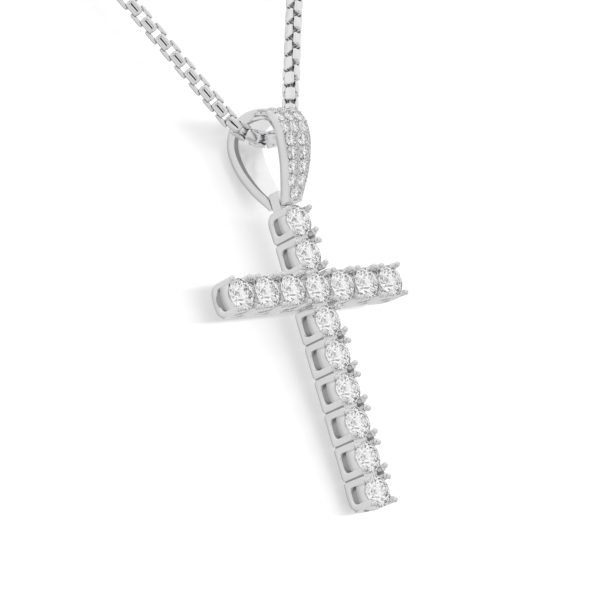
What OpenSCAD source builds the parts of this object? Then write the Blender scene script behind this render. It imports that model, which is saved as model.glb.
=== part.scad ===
// A cross pendant of round stones in four-claw settings, with a stone-set bail,
// hanging on its own round box chain. Millimetres, +Z up, the front faces -Y.
// The origin is the point of the clasp that rests on the nape of the neck.

/* [Stones] */
// Distance from one stone's centre to the next
stone_pitch = 3.2; // [3.1:0.05:3.8]
// Girdle diameter of a main stone
stone_d = 2.94; // [2.6:0.02:2.96]
// Stones in the upright above the crossbar
stones_above = 2; // [1:1:3]
// Stones in the upright below the crossbar
stones_below = 6; // [3:1:8]
// Stones in each arm of the crossbar
stones_side = 3; // [1:1:4]
// Width of a stone's table as a share of its diameter
table_share = 0.56; // [0.5:0.01:0.64]
// Angle of the crown's main facets
crown_angle = 34.5; // [31:0.5:37]
// Angle of the pavilion's main facets
pavilion_angle = 40.75; // [39:0.25:43]

/* [Setting] */
// Depth of the girdle plane in front of the cross's back
girdle_to_back = 2.5; // [2.3:0.05:3]
// Height of the claws' tips over the girdle plane, at their centres
claw_reach = 0.42; // [0.36:0.01:0.5]
// Diameter of a claw's ball tip
claw_tip_d = 0.62; // [0.54:0.01:0.7]
// Distance of a claw's tip from the row's centre line
claw_across = 1.38; // [1.34:0.01:1.5]
// Distance of a claw's tip from its stone's centre, along the row
claw_along = 1.1; // [1.05:0.01:1.16]
// Thickness of a claw's post, across the row
post_t = 0.54; // [0.4:0.02:0.6]
// Width of a claw's post, along the row
post_w = 0.58; // [0.4:0.02:0.62]
// Half the opening between two posts in the side of a setting
window_half = 0.88; // [0.8:0.02:0.95]
// Thickness of the back rail
rail_t = 0.65; // [0.4:0.05:0.7]
// Width of the back rail
rail_w = 3.08; // [2.9:0.02:3.3]
// Size of the rounding on the back rail's edges
rail_round = 0.22; // [0.1:0.02:0.3]
// Diameter of the light hole behind each stone
light_hole_d = 1.9; // [1.2:0.1:2.1]
// Height of the collar under each stone
collar_h = 1.1; // [0.9:0.05:1.2]
// Width of the collar, side to side
collar_w = 3; // [2.9:0.02:3.04]

/* [Hanger Loop] */
// Width of the loop on top of the cross
loop_w = 1.9; // [1.7:0.05:2.1]
// Height of the loop over its hole's centre
loop_top = 1.05; // [0.9:0.05:1.1]
// Diameter of the loop's hole
loop_hole_d = 0.9; // [0.86:0.02:1]
// Thickness of the loop, front to back
loop_t = 1.08; // [0.8:0.02:1.1]
// Distance of the loop's middle behind the girdle plane
loop_back = 1.42; // [1.3:0.02:1.5]

/* [Bail] */
// Height of the bail
bail_h = 9.1; // [8.5:0.1:10]
// Depth of the bail, front to back
bail_depth = 7.4; // [7:0.1:8.5]
// Thickness of the bail's band
bail_wall = 1; // [0.9:0.05:1.1]
// Width of the band at the top
bail_top_w = 3.7; // [3.6:0.1:4.4]
// Width of the band at its feet
bail_foot_w = 1.9; // [1.8:0.05:2.2]
// Distance of the bail's middle behind the girdle plane
bail_back = 0.93; // [0.8:0.01:1.1]
// Diameter of the bar that joins the feet through the hanger loop
bar_d = 0.7; // [0.5:0.05:0.75]
// Gap between the feet and the top of the cross
foot_gap = 0.27; // [0.26:0.01:0.4]
// Scale of the small stones set in the band
small_stone_scale = 1; // [0.85:0.01:1]

/* [Chain] */
// Outer diameter of the chain
chain_d = 1.6; // [1.2:0.1:1.6]
// Bend radius of the chain under the bail
tip_bend_r = 4.6; // [4.4:0.1:6]

/* [Clasp] */
// Length of the barrel clasp
clasp_l = 10; // [8:0.5:12]
// Diameter of the barrel clasp
clasp_d = 3; // [2.4:0.1:3.6]
// Diameter of the clasp's end collars
clasp_end_d = 2.1; // [1.8:0.1:2.3]

/* [Hidden] */
$fn = 48;
wide_arc_fn = 96;
// Clearance between pieces that are set into or beside each other
fit_gap = 0.05;
// Clearance between the hanger loop and the bail's feet on each side
loop_gap = 0.08;
// Height of the chain's top below the inside of the bail's arch
arch_gap = 0.9;
// Overlap of solids that are soldered into one
sink = 0.2;

// Route of one half of the chain, from under the bail to the clasp, as corners,
// and the bend radius at each corner between them
half_route = [[0, -90, -127], [49, -80, -43], [57, -42, -12], [38, -3, 0]];
route_bend = [35, 50, 30];
// The route's last point is where the chain meets the clasp
route_end = [clasp_l / 2 + fit_gap, clasp_d / 2, 0];
// Sides of the chain's outline, its longest steps on straight runs and in bends,
// and the steps of the arc under the bail
chain_sides = 8;
ring_step = 7.3;
bend_step = 6.3;
arc_steps = 4;
// Direction in the plane of the chain's loop that its outline's sides start from
loop_side = [0, -0.84, 0.54];

// Places in the cross's own frame, whose origin is the centre stone's girdle
back_y = girdle_to_back;
rail_y = back_y - rail_t;
collar_y = 0.15;
// How far the settings at the ends reach past their stones, at the back
end_reach = 1.3;
// The rail's ends: their rounding, and how much thicker they are on each side
end_round = 0.36;
end_swell = 0.1;
swell_l = 0.6;
// Roundings of a claw's post and of the window's corners
post_round = 0.16;
window_round = 0.26;
// Depth and width of the groove between two settings in the rail's side, and
// what it leaves of the rail at the back
groove_depth = 0.3;
groove_w = 0.28;
groove_floor = 0.32;
// The rounding of the hanger loop's two top corners
loop_round = 0.3;
loop_soft = loop_round * (1 - sqrt(0.5));
// The clasp's end collars as a share of its length, and its softened edges as a
// share of its diameter
clasp_collar_share = 0.08;
clasp_soft_share = 0.12;

upright_count = stones_above + 1 + stones_below;
upright_top = stones_above * stone_pitch + collar_w / 2;
foot_z = upright_top + foot_gap;
// Height of the bar through the hanger loop over the feet's ends
bar_rise = 0.39;
loop_z = foot_z + bar_rise;
arch_z = foot_z + bail_h - bail_wall;
chain_z = arch_z - arch_gap - chain_d / 2;
tip = half_route[0];
cross_at = [0, tip.y - bail_back, tip.z - chain_z];

// The bail's outer outline seen from the side, from the front foot over the
// arch to the back foot. Columns: share of half the depth, share of the height
bail_outline = [
    [-0.31, 0], [-0.46, 0.09], [-0.653, 0.22], [-0.787, 0.33], [-0.888, 0.44],
    [-0.965, 0.55], [-1, 0.67], [-0.955, 0.79], [-0.82, 0.885], [-0.57, 0.95],
    [-0.28, 0.985], [0.05, 1], [0.38, 0.985], [0.68, 0.935], [0.88, 0.845],
    [0.985, 0.735], [1, 0.61], [0.945, 0.46], [0.86, 0.35], [0.745, 0.235],
    [0.61, 0.13], [0.4, 0]
];
outline_steps = 4;
// How the band widens from its feet to its top. Columns: share of the height,
// share of the widening
bail_flare = [[-0.03, 0], [0.05, 0.02], [0.25, 0.46], [0.5, 0.84], [0.68, 0.97], [0.85, 1], [1.03, 1]];

// Rows of small stones on the bail, from the foot over the arch. Columns:
// place as a share of the way round the outline, stones in the row, diameter
small_rows = [
    [0.03, 1, 1.15], [0.08, 2, 1.0], [0.133, 2, 1.14], [0.186, 2, 1.18],
    [0.239, 2, 1.22], [0.288, 3, 1.02], [0.333, 3, 1.0], [0.378, 3, 1.04]
];
// Metal between two stones of a row, and a seat's depth and floor width as
// shares of its stone's diameter
small_stone_gap = 0.16;
seat_depth_share = 0.5;
seat_floor_share = 0.2;
seat_gap = 0.03;
small_count = sum([for (row = small_rows) row[1]]);

// A brilliant's half girdle thickness as a share of its diameter, and where the
// star facets' and the lower facets' tips lie, as shares of its radius
girdle_share = 0.02;
star_share = 0.46 + table_share * 0.62;
lower_share = 0.25;

metal = [0.84, 0.85, 0.87];
dark_metal = [0.74, 0.75, 0.78];
crystal = [0.9, 0.95, 1];

function sum(v, i = 0) = i < len(v) ? v[i] + sum(v, i + 1) : 0;
function unit(v) = v / norm(v);
function mix(a, b, t) = a + (b - a) * t;

// Smooth curve through a list of 2D points, in equal steps between them
function curve_point(p, i, t) =
    let (a = p[max(i - 1, 0)], b = p[i], c = p[i + 1], d = p[min(i + 2, len(p) - 1)])
    b + 0.5 * t * ((c - a) + t * ((2 * a - 5 * b + 4 * c - d) + t * (3 * (b - c) + d - a)));
function smooth(p, steps) = concat(
    [for (i = [0:len(p) - 2]) for (k = [0:steps - 1]) curve_point(p, i, k / steps)],
    [p[len(p) - 1]]);

// The bail's outlines as [y, z] in the cross's frame
bail_outer = smooth([for (s = bail_outline)
    [bail_back + s[0] * bail_depth / 2, foot_z + s[1] * bail_h]], outline_steps);
function outline_normal(i) =
    let (last = len(bail_outer) - 1,
         along = unit(bail_outer[min(i + 1, last)] - bail_outer[max(i - 1, 0)]))
    [-along.y, along.x];
bail_inner_all = [for (i = [0:len(bail_outer) - 1])
    bail_outer[i] - bail_wall * outline_normal(i)];
// Below the hanger loop's top, the inside stops beside the slot for the loop
slot_front = loop_back - loop_t / 2 - loop_gap;
slot_back = loop_back + loop_t / 2 + loop_gap;
slot_top = loop_z + loop_top + loop_gap;
bail_inner = [for (i = [0:len(bail_inner_all) - 1]) let (p = bail_inner_all[i],
    front = i < len(bail_inner_all) / 2)
    if (p.y > slot_top || (front ? p.x < slot_front : p.x > slot_back)) p];

// Place and slope at a share of the way round the bail's outer outline
outline_at = [for (i = [0:len(bail_outer) - 1])
    sum([for (k = [1:1:i]) norm(bail_outer[k] - bail_outer[k - 1])])];
outline_length = outline_at[len(outline_at) - 1];
function outline_index(s) = len([for (a = outline_at) if (a <= s * outline_length) 1]) - 1;
function outline_place(s) =
    let (i = min(outline_index(s), len(bail_outer) - 2),
         t = (s * outline_length - outline_at[i]) / (outline_at[i + 1] - outline_at[i]))
    mix(bail_outer[i], bail_outer[i + 1], t);
function outline_out(s) =
    let (i = min(outline_index(s), len(bail_outer) - 2),
         t = (s * outline_length - outline_at[i]) / (outline_at[i + 1] - outline_at[i]))
    unit(mix(outline_normal(i), outline_normal(i + 1), t));

// Every small stone: its share round the outline, its x and its diameter
small_stones = [for (row = small_rows) for (k = [0:row[1] - 1])
    let (d = row[2] * small_stone_scale)
    [row[0], (k - (row[1] - 1) / 2) * (row[2] + small_stone_gap), d]];

// The chain's half route: an arc under the bail, straight runs and bends
function tip_angle(p) =
    let (b = norm([p.y - tip.y, p.z - tip.z]) - tip_bend_r)
    atan2(b, p.x) + asin(tip_bend_r / norm([p.x, b]));
tip_lean = unit([0, half_route[1].y - tip.y, half_route[1].z - tip.z]);
tip_turn = tip_angle(half_route[1]);
function tip_arc(steps) = [for (k = [0:steps]) let (a = tip_turn * k / steps)
    tip + tip_bend_r * sin(a) * [1, 0, 0] + tip_bend_r * (1 - cos(a)) * tip_lean];
function bend(p, q, r, radius) =
    let (a = unit(p - q), b = unit(r - q), half = acos(a * b) / 2,
         reach = radius / tan(half), axis = unit(a + b),
         centre = q + axis * radius / sin(half), side = unit(b - a),
         turn = 90 - half, steps = max(2, ceil(2 * turn * PI / 180 * radius / bend_step)))
    [for (k = [0:steps]) let (t = mix(-turn, turn, k / steps))
        centre - axis * radius * cos(t) + side * radius * sin(t)];
function straight(p, q) =
    let (steps = max(1, ceil(norm(q - p) / ring_step)))
    [for (k = [1:1:steps - 1]) mix(p, q, k / steps)];
corners = concat(half_route, [route_end]);
start_arc = tip_arc(arc_steps);
bends = [for (i = [1:len(route_bend)])
    bend(i == 1 ? start_arc[len(start_arc) - 1] : corners[i - 1], corners[i],
         corners[i + 1], route_bend[i - 1])];
function joined(i) = i >= len(bends) ? concat(
        straight(bends[i - 1][len(bends[i - 1]) - 1], route_end), [route_end])
    : concat(straight(i == 0 ? start_arc[len(start_arc) - 1]
        : bends[i - 1][len(bends[i - 1]) - 1], bends[i][0]), bends[i], joined(i + 1));
half_line = concat(start_arc, joined(0));

// Rows of points round the route, each square to it
function along_line(i) = i == 0 ? [1, 0, 0]
    : i == len(half_line) - 1 ? [-1, 0, 0]
    : unit(unit(half_line[i + 1] - half_line[i]) + unit(half_line[i] - half_line[i - 1]));
function line_ring(i) =
    let (t = along_line(i), n = unit(loop_side - (loop_side * t) * t), b = cross(t, n))
    [for (k = [0:chain_sides - 1]) let (a = 360 * (k + 0.5) / chain_sides)
        half_line[i] + chain_d / 2 * (cos(a) * n + sin(a) * b)];

module half_chain() {
    rings = len(half_line);
    points = [for (i = [0:rings - 1]) for (p = line_ring(i)) p];
    sides = [for (i = [0:rings - 2]) for (k = [0:chain_sides - 1])
        let (n = (k + 1) % chain_sides, a = i * chain_sides, b = a + chain_sides)
        [a + k, b + k, b + n, a + n]];
    first = [for (k = [0:chain_sides - 1]) k];
    last = [for (k = [chain_sides - 1:-1:0]) (rings - 1) * chain_sides + k];
    polyhedron(points, concat(sides, [first, last]), convexity = 6);
}

// A round brilliant with its table towards +z and its girdle at z = 0
module brilliant(d) {
    r = d / 2;
    girdle = girdle_share * d;
    table_r = r * table_share;
    star_r = r * star_share;
    lower_r = r * lower_share;
    half_step = cos(22.5);
    crown = tan(crown_angle);
    deep = tan(pavilion_angle);
    points = concat(
        ring_points(table_r, 0, 8, girdle + (r - table_r) * crown),
        ring_points(star_r, 22.5, 8, girdle + (r - star_r * half_step) * crown),
        ring_points(r, 0, 16, girdle),
        ring_points(r, 0, 16, -girdle),
        ring_points(lower_r, 22.5, 8, -girdle - (r - lower_r * half_step) * deep),
        [[0, 0, -girdle - r * deep]]);
    star = 8;
    upper = 16;
    lower = 32;
    deep_ring = 48;
    culet = 56;
    faces = concat(
        [[for (k = [7:-1:0]) k]],
        [for (k = [0:7]) [k, (k + 1) % 8, star + k]],
        [for (k = [0:7]) [k, star + k, upper + 2 * k, star + (k + 7) % 8]],
        [for (k = [0:7]) [star + k, upper + 2 * k + 1, upper + 2 * k]],
        [for (k = [0:7]) [star + k, upper + (2 * k + 2) % 16, upper + 2 * k + 1]],
        [for (m = [0:15]) [upper + m, upper + (m + 1) % 16, lower + (m + 1) % 16, lower + m]],
        [for (k = [0:7]) [lower + 2 * k, lower + 2 * k + 1, deep_ring + k]],
        [for (k = [0:7]) [lower + 2 * k + 1, lower + (2 * k + 2) % 16, deep_ring + k]],
        [for (k = [0:7]) [culet, deep_ring + (k + 7) % 8, lower + 2 * k, deep_ring + k]]);
    polyhedron(points, faces, convexity = 2);
}

function ring_points(radius, start, count, z) =
    [for (k = [0:count - 1]) let (a = start + 360 * k / count)
        [radius * cos(a), radius * sin(a), z]];

// The room a main stone takes with its clearance, its axis along z
module stone_room() {
    r = stone_d / 2 + fit_gap;
    girdle = girdle_share * stone_d;
    rotate_extrude() polygon([
        [0, -girdle - r * tan(pavilion_angle)], [r, -girdle], [r, girdle],
        [table_share * r, girdle + (1 - table_share) * r * tan(crown_angle)],
        [table_share * r, claw_reach + claw_tip_d], [0, claw_reach + claw_tip_d]]);
}

// The collar under a stone: outside it is four shallow arcs, as wide in radius as it is across
module collar() {
    bow_r = collar_w;
    rotate([-90, 0, 0]) translate([0, 0, collar_y])
        linear_extrude(collar_h) intersection_for (a = [0:90:270])
            rotate(a) translate([bow_r - collar_w / 2, 0]) circle(r = bow_r, $fn = wide_arc_fn);
}

// A claw at +x and +z of its stone: a post that leans from its foot in the rail
// to its ball tip, and the rounded corner between post and rail
module claw(foot_along, tip_across, tip_along) {
    foot_y = back_y - rail_round;
    rise = foot_y + claw_reach;
    tip_x = tip_across + (claw_tip_d - post_t) / 2;
    foot_x = (rail_w - post_t) / 2;
    lean = atan2(tip_x - foot_x, rise);
    along = atan2(tip_along - foot_along, rise);
    translate([foot_x, foot_y, foot_along]) rotate([90 - along, 0, lean])
        linear_extrude(rise / cos(lean) / cos(along)) post_section();
    translate([tip_across, -claw_reach, tip_along]) sphere(d = claw_tip_d);
    corner_y = rail_y - window_round;
    low = window_half - window_round;
    translate([foot_x, 0, 0]) rotate([90, 0, 90])
        linear_extrude(post_t - 2 * post_round, center = true) polygon(concat(
            [for (a = [0:22.5:90]) [corner_y + window_round * sin(a),
                low + window_round * cos(a)]],
            [[rail_y + post_round, low], [rail_y + post_round, foot_along],
             [corner_y, foot_along]]));
}

module post_section() {
    across = post_t / 2 - post_round;
    along = post_w / 2 - post_round;
    polygon([for (q = [0:3]) for (a = [0:30:90])
        [(q == 0 || q == 3 ? 1 : -1) * across + post_round * cos(90 * q + a),
         (q < 2 ? 1 : -1) * along + post_round * sin(90 * q + a)]]);
}

// One stone's setting: its collar and two claws on each side of the row
module setting(at, tip_across, tip_along, last) {
    inner_foot = stone_pitch / 2 - (groove_w + post_w) / 2;
    last_foot = end_reach - post_w / 2;
    translate([0, 0, at]) {
        collar();
        for (side = [0, 1]) mirror([side, 0, 0]) {
            claw(last ? last_foot : inner_foot, tip_across, tip_along);
            mirror([0, 0, 1]) claw(inner_foot, tip_across, tip_along);
        }
    }
}

// The back rail of an arm along +z, thicker at its end and rounded all round
module rail(end) {
    half = rail_w / 2;
    back = back_y + end_swell;
    front = rail_y - end_swell;
    soft = rail_round * (1 - sqrt(0.5));
    start = end - stone_pitch + swell_l;
    corner = end_corner(half, end);
    intersection() {
        linear_extrude(end) polygon([
            [-half, front], [half, front], [half, back - rail_round],
            [half - soft, back - soft], [half - rail_round, back],
            [rail_round - half, back], [soft - half, back - soft],
            [-half, back - rail_round]]);
        translate([-half, 0, 0]) rotate([90, 0, 90]) linear_extrude(rail_w) polygon(concat(
            [[rail_y, 0], [back_y, 0], [back_y, start], [back, start + swell_l]],
            end_corner(back, end),
            [[front, end], [front, start + swell_l], [rail_y, start]]));
        translate([0, back, 0]) rotate([90, 0, 0]) linear_extrude(back) polygon(concat(
            [[-half, 0], [half, 0]], corner,
            [for (i = [len(corner) - 1:-1:0]) [-corner[i].x, corner[i].y]]));
    }
}

// A quarter round between a rail's side and its end
function end_corner(side, end) = [for (a = [0:15:90])
    [side - end_round * (1 - cos(a)), end - end_round * (1 - sin(a))]];

// One arm of the cross along +z: its rail and settings, a groove beside each
module arm(stones) {
    difference() {
        union() {
            rail(stones * stone_pitch + end_reach);
            for (i = [1:stones])
                setting(i * stone_pitch, claw_across, claw_along, i == stones);
        }
        for (i = [1:stones]) for (side = [-1, 1])
            translate([side * (rail_w + claw_tip_d - groove_depth) / 2,
                       (back_y - groove_floor) / 2, (i - 0.5) * stone_pitch])
                cube([claw_tip_d + groove_depth, back_y - groove_floor, groove_w], center = true);
    }
}

module cross_frame() {
    centre_tip = (claw_across + claw_along) / 2;
    color(metal) translate(cross_at) difference() {
        union() {
            arm(stones_above);
            rotate([0, 180, 0]) arm(stones_below);
            rotate([0, 90, 0]) arm(stones_side);
            rotate([0, -90, 0]) arm(stones_side);
            setting(0, centre_tip, centre_tip, false);
            hanger_loop();
        }
        for (i = [-stones_below:stones_above]) stone_cuts(0, i * stone_pitch);
        for (i = [1:stones_side]) for (side = [-1, 1]) stone_cuts(side * i * stone_pitch, 0);
        translate([0, loop_back, loop_z]) rotate([90, 0, 0])
            cylinder(h = loop_t + 2 * sink, d = loop_hole_d, center = true);
    }
}

// What is cut for one stone: its own room and the light hole behind it
module stone_cuts(at_x, at_z) {
    translate([at_x, 0, at_z]) rotate([90, 0, 0]) {
        stone_room();
        translate([0, 0, -back_y - sink]) cylinder(h = rail_t + 2 * sink, d = light_hole_d);
    }
}

// The loop that stands on the top setting, flush with the bail's feet
module hanger_loop() {
    low = stones_above * stone_pitch + light_hole_d / 2 + sink - loop_z;
    half = loop_w / 2;
    translate([0, loop_back + loop_t / 2, loop_z]) rotate([90, 0, 0])
        linear_extrude(loop_t) polygon([
            [-half, low], [half, low], [half, loop_top - loop_round],
            [half - loop_soft, loop_top - loop_soft], [half - loop_round, loop_top],
            [loop_round - half, loop_top], [loop_soft - half, loop_top - loop_soft],
            [-half, loop_top - loop_round]]);
}

// Turns the shape from the outline's plane to a band that runs along x
module across_band(width) {
    rotate([90, 0, 90]) linear_extrude(width, center = true) children();
}

module bail() {
    flare = smooth(bail_flare, outline_steps);
    widening = (bail_top_w - bail_foot_w) / 2;
    side = [for (f = flare) [bail_foot_w / 2 + f[1] * widening, foot_z + f[0] * bail_h]];
    other_side = [for (i = [len(side) - 1:-1:0]) [-side[i].x, side[i].y]];
    color(metal) translate(cross_at) {
        difference() {
            intersection() {
                across_band(2 * bail_top_w) difference() {
                    polygon(bail_outer);
                    polygon(bail_inner);
                    translate([slot_front, foot_z - sink])
                        square([slot_back - slot_front, slot_top + sink - foot_z]);
                }
                translate([0, bail_back + bail_depth, 0]) rotate([90, 0, 0])
                    linear_extrude(2 * bail_depth) polygon(concat(side, other_side));
            }
            for (s = small_stones) on_band(s) small_seat(s[2]);
        }
        translate([0, slot_front - sink, loop_z]) rotate([-90, 0, 0])
            cylinder(h = slot_back - slot_front + 2 * sink, d = bar_d);
    }
}

// The cone that is cut into the band for a small stone of this diameter
module small_seat(d) {
    deep = seat_depth_share * d;
    floor_d = seat_floor_share * d;
    spread = (d + 2 * seat_gap - floor_d) / deep;
    translate([0, 0, -deep])
        cylinder(h = deep + sink, d1 = floor_d, d2 = floor_d + spread * (deep + sink));
}

// Puts a small stone or its seat on the band's outside
module on_band(s) {
    place = outline_place(s[0]);
    out = outline_out(s[0]);
    translate([s[1], place.x, place.y]) rotate([atan2(out.y, out.x) - 90, 0, 0])
        children();
}

module bail_stone(i) {
    s = small_stones[i - 1];
    color(crystal) translate(cross_at) on_band(s) brilliant(s[2]);
}

module main_stone(at_x, at_z) {
    color(crystal) translate(cross_at + [at_x, 0, at_z]) rotate([90, 0, 0]) brilliant(stone_d);
}

module chain_left() {
    color(dark_metal) mirror([1, 0, 0]) half_chain();
}

module chain_right() {
    color(dark_metal) half_chain();
}

// A plain barrel: two end collars and a body with softened ends
module clasp() {
    half = clasp_l / 2;
    collar_l = clasp_collar_share * clasp_l;
    soft = clasp_soft_share * clasp_d;
    color(metal) translate([0, clasp_d / 2, 0]) rotate([0, 90, 0]) rotate_extrude()
        polygon([
            [0, -half], [clasp_end_d / 2, -half], [clasp_end_d / 2, collar_l - half],
            [clasp_d / 2 - soft, collar_l - half], [clasp_d / 2, collar_l + soft - half],
            [clasp_d / 2, half - collar_l - soft], [clasp_d / 2 - soft, half - collar_l],
            [clasp_end_d / 2, half - collar_l], [clasp_end_d / 2, half], [0, half]]);
}

cross_frame();
bail();
chain_left();
chain_right();
clasp();
for (i = [1:upright_count])
    main_stone(0, (stones_above + 1 - i) * stone_pitch);
for (i = [1:stones_side]) {
    main_stone(-i * stone_pitch, 0);
    main_stone(i * stone_pitch, 0);
}
for (i = [1:small_count])
    bail_stone(i);
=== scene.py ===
# %% [markdown]
# # A cross pendant on a round box chain
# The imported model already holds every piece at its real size. This lesson dresses it: polished
# white gold, clear brilliants, real interlocking links in place of two plain tubes, and a studio to
# see them in. Places are worked out in millimetres and made in metres, and the front of the cross
# looks along -Y.

# %% Load the frame
import bpy
import bmesh
import math
import numpy as np
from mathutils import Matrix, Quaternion, Vector


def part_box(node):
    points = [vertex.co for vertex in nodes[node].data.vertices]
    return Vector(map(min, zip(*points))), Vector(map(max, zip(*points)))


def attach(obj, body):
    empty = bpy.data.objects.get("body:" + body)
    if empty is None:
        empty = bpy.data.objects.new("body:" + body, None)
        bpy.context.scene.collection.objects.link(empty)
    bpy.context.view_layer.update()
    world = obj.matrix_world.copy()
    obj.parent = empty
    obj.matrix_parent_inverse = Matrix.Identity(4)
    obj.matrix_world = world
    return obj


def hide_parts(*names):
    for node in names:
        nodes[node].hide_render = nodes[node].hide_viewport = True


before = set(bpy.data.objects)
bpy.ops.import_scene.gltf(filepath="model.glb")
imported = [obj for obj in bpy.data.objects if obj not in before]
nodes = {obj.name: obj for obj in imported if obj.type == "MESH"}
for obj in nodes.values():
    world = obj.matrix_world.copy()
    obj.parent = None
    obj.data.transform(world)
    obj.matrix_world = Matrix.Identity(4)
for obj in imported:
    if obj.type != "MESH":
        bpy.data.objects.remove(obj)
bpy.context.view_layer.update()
MM = 0.001
print("CAD nodes:", len(nodes))

# %% [markdown]
# The pendant is photographed from its left front and a little below, with a long lens, and the
# camera leans over to the right. A position, a direction and a lean say all of that.

# %% Camera
CAMERA_AT = Vector((-0.17166, -0.25295, -0.18531))
CAMERA_LOOKS = Vector((0.7099, 0.6811, 0.1795))
CAMERA_LEAN = math.radians(16.17)
LENS_MM = 159.86
SENSOR_MM = 36

camera = bpy.data.objects.new("camera", bpy.data.cameras.new("camera"))
bpy.context.scene.collection.objects.link(camera)
camera.location = CAMERA_AT
camera.rotation_mode = "QUATERNION"
camera.rotation_quaternion = (CAMERA_LOOKS.to_track_quat("-Z", "Y")
                              @ Quaternion((0, 0, 1), -CAMERA_LEAN))
camera.data.sensor_width = SENSOR_MM
camera.data.lens = LENS_MM
camera.data.clip_start, camera.data.clip_end = 0.01, 10
bpy.context.scene.camera = camera
bpy.context.scene.view_settings.view_transform = "Standard"
bpy.context.scene.cycles.max_bounces = 24
bpy.context.scene.cycles.transmission_bounces = 24
bpy.context.scene.cycles.glossy_bounces = 12
print("camera at", tuple(round(v, 4) for v in camera.location))

# %% [markdown]
# Where the cross hangs follows from its own node. The numbers of the bail and the settings below
# are measured from the centre stone's girdle.

# %% The cross's own zero
low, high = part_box("upright_stone_3")
CROSS = Vector(((low.x + high.x) / 2, -0.09093, (low.z + high.z) / 2))
print("cross centre", tuple(round(v, 5) for v in CROSS))


def at_cross(x, y, z):
    """A place given in millimetres from the centre stone's girdle."""
    return CROSS + Vector((x, y, z)) * MM


# %% [markdown]
# ## Materials
# Node trees are built with one small helper, so that a material reads as a short list of nodes.

# %% A helper for node trees
class Tree:
    """Adds nodes to a tree, and links or sets their inputs by name."""

    def __init__(self, tree):
        self.tree = tree

    def add(self, kind, inputs=None, **settings):
        made = self.tree.nodes.new(kind)
        for name, value in settings.items():
            setattr(made, name, value)
        for name, value in (inputs or {}).items():
            if isinstance(value, bpy.types.NodeSocket):
                self.tree.links.new(value, made.inputs[name])
            else:
                made.inputs[name].default_value = value
        return made

    def math(self, operation, a, b=0.0, c=0.0):
        return self.add("ShaderNodeMath", {0: a, 1: b, 2: c}, operation=operation).outputs[0]

    def vector(self, operation, a, b=(0, 0, 0)):
        return self.add("ShaderNodeVectorMath", {0: a, 1: b}, operation=operation)

    def blend(self, factor, a, b):
        """A colour between two, each given as a colour or as a socket."""
        return self.add("ShaderNodeMix", {"Factor": factor, 6: a, 7: b},
                        data_type="RGBA").outputs[2]

    def smooth(self, value, low, high, out_low=0.0, out_high=1.0):
        return self.add("ShaderNodeMapRange", {"Value": value, "From Min": low, "From Max": high,
                        "To Min": out_low, "To Max": out_high},
                        interpolation_type="SMOOTHSTEP").outputs[0]


def new_material(name):
    """An empty node material, and the helper that fills it."""
    made = bpy.data.materials.new(name)
    made.use_nodes = True
    made.node_tree.nodes.clear()
    return made, Tree(made.node_tree)


def new_group(name, inputs, outputs):
    """An empty group with named inputs, each with its default, and outputs, and its helper."""
    made = bpy.data.node_groups.new(name, "ShaderNodeTree")
    for socket, value in inputs.items():
        made.interface.new_socket(socket, in_out="INPUT",
                                  socket_type="NodeSocketFloat").default_value = value
    for socket in outputs:
        made.interface.new_socket(socket, in_out="OUTPUT", socket_type="NodeSocketFloat")
    return made, Tree(made)


# %% [markdown]
# Polished gold is never perfectly even. The polishing wheel leaves faint patches of haze and
# hair-thin lines, so one node group puts out a roughness and a height for all of the metal. Its
# colour drifts a little too, between two tints.

# %% The polish on the metal
polish, t = new_group("hand polish", {"Haze": 0.05, "Base Roughness": 0.1},
                      ("Roughness", "Height", "Tint"))
given = t.add("NodeGroupInput").outputs
place = t.add("ShaderNodeTexCoord").outputs["Object"]
patches = t.add("ShaderNodeTexNoise", {"Vector": place, "Scale": 700.0, "Detail": 3.0})
lines = t.add("ShaderNodeTexNoise", {"Vector": place, "Scale": 5200.0, "Detail": 2.0,
              "Distortion": 0.6})
haze = t.math("MULTIPLY", t.smooth(patches.outputs[0], 0.4, 0.7), given["Haze"])
result = t.add("NodeGroupOutput")
t.tree.links.new(t.math("ADD", haze, given["Base Roughness"]), result.inputs["Roughness"])
t.tree.links.new(lines.outputs[0], result.inputs["Height"])
t.tree.links.new(t.smooth(patches.outputs[0], 0.3, 0.7), result.inputs["Tint"])
print("polish group:", len(polish.nodes), "nodes")

# %% [markdown]
# Where two pieces of metal meet, a second group paints shade into the metal's colour. It finds such
# corners by how much of the nearby space is closed, and puts out how much painted shade they get.

# %% Painted shade in corners
corner_shade_group, t = new_group("painted corner shade", {"Reach": 0.6 * MM, "Strength": 0.7}, ("Mask",))
given = t.add("NodeGroupInput").outputs
openness = t.add("ShaderNodeAmbientOcclusion", {"Distance": given["Reach"]}, samples=6)
closed = t.math("SUBTRACT", 1.0, openness.outputs["AO"])
# how closed the space is becomes painted shade in the metal's colour
painted_shade = t.math("MULTIPLY", t.smooth(closed, 0.2, 0.85), given["Strength"])
result = t.add("NodeGroupOutput")
t.tree.links.new(painted_shade, result.inputs["Mask"])
print("corner group:", len(corner_shade_group.nodes), "nodes")

# %% [markdown]
# Five metals share these two groups: the mirror polish of the settings, of the bail and of the
# chain, a softer satin with a faint painted glow, and a rough metal painted dark as recess shade.

# %% The metals
BUMP = 0.05
SCRATCH_HEIGHT = 0.01 * MM
POLISHED_TINTS = (0.95, 0.95, 0.955), (0.91, 0.91, 0.92)
SATIN_TINTS = (0.97, 0.97, 0.97), (0.94, 0.94, 0.945)
# dark tints of a rough metal that paints the shade in slots, grooves and a strip inside the bail
SHADE_DARK_TINTS = (0.4, 0.4, 0.41), (0.36, 0.36, 0.37)


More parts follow.
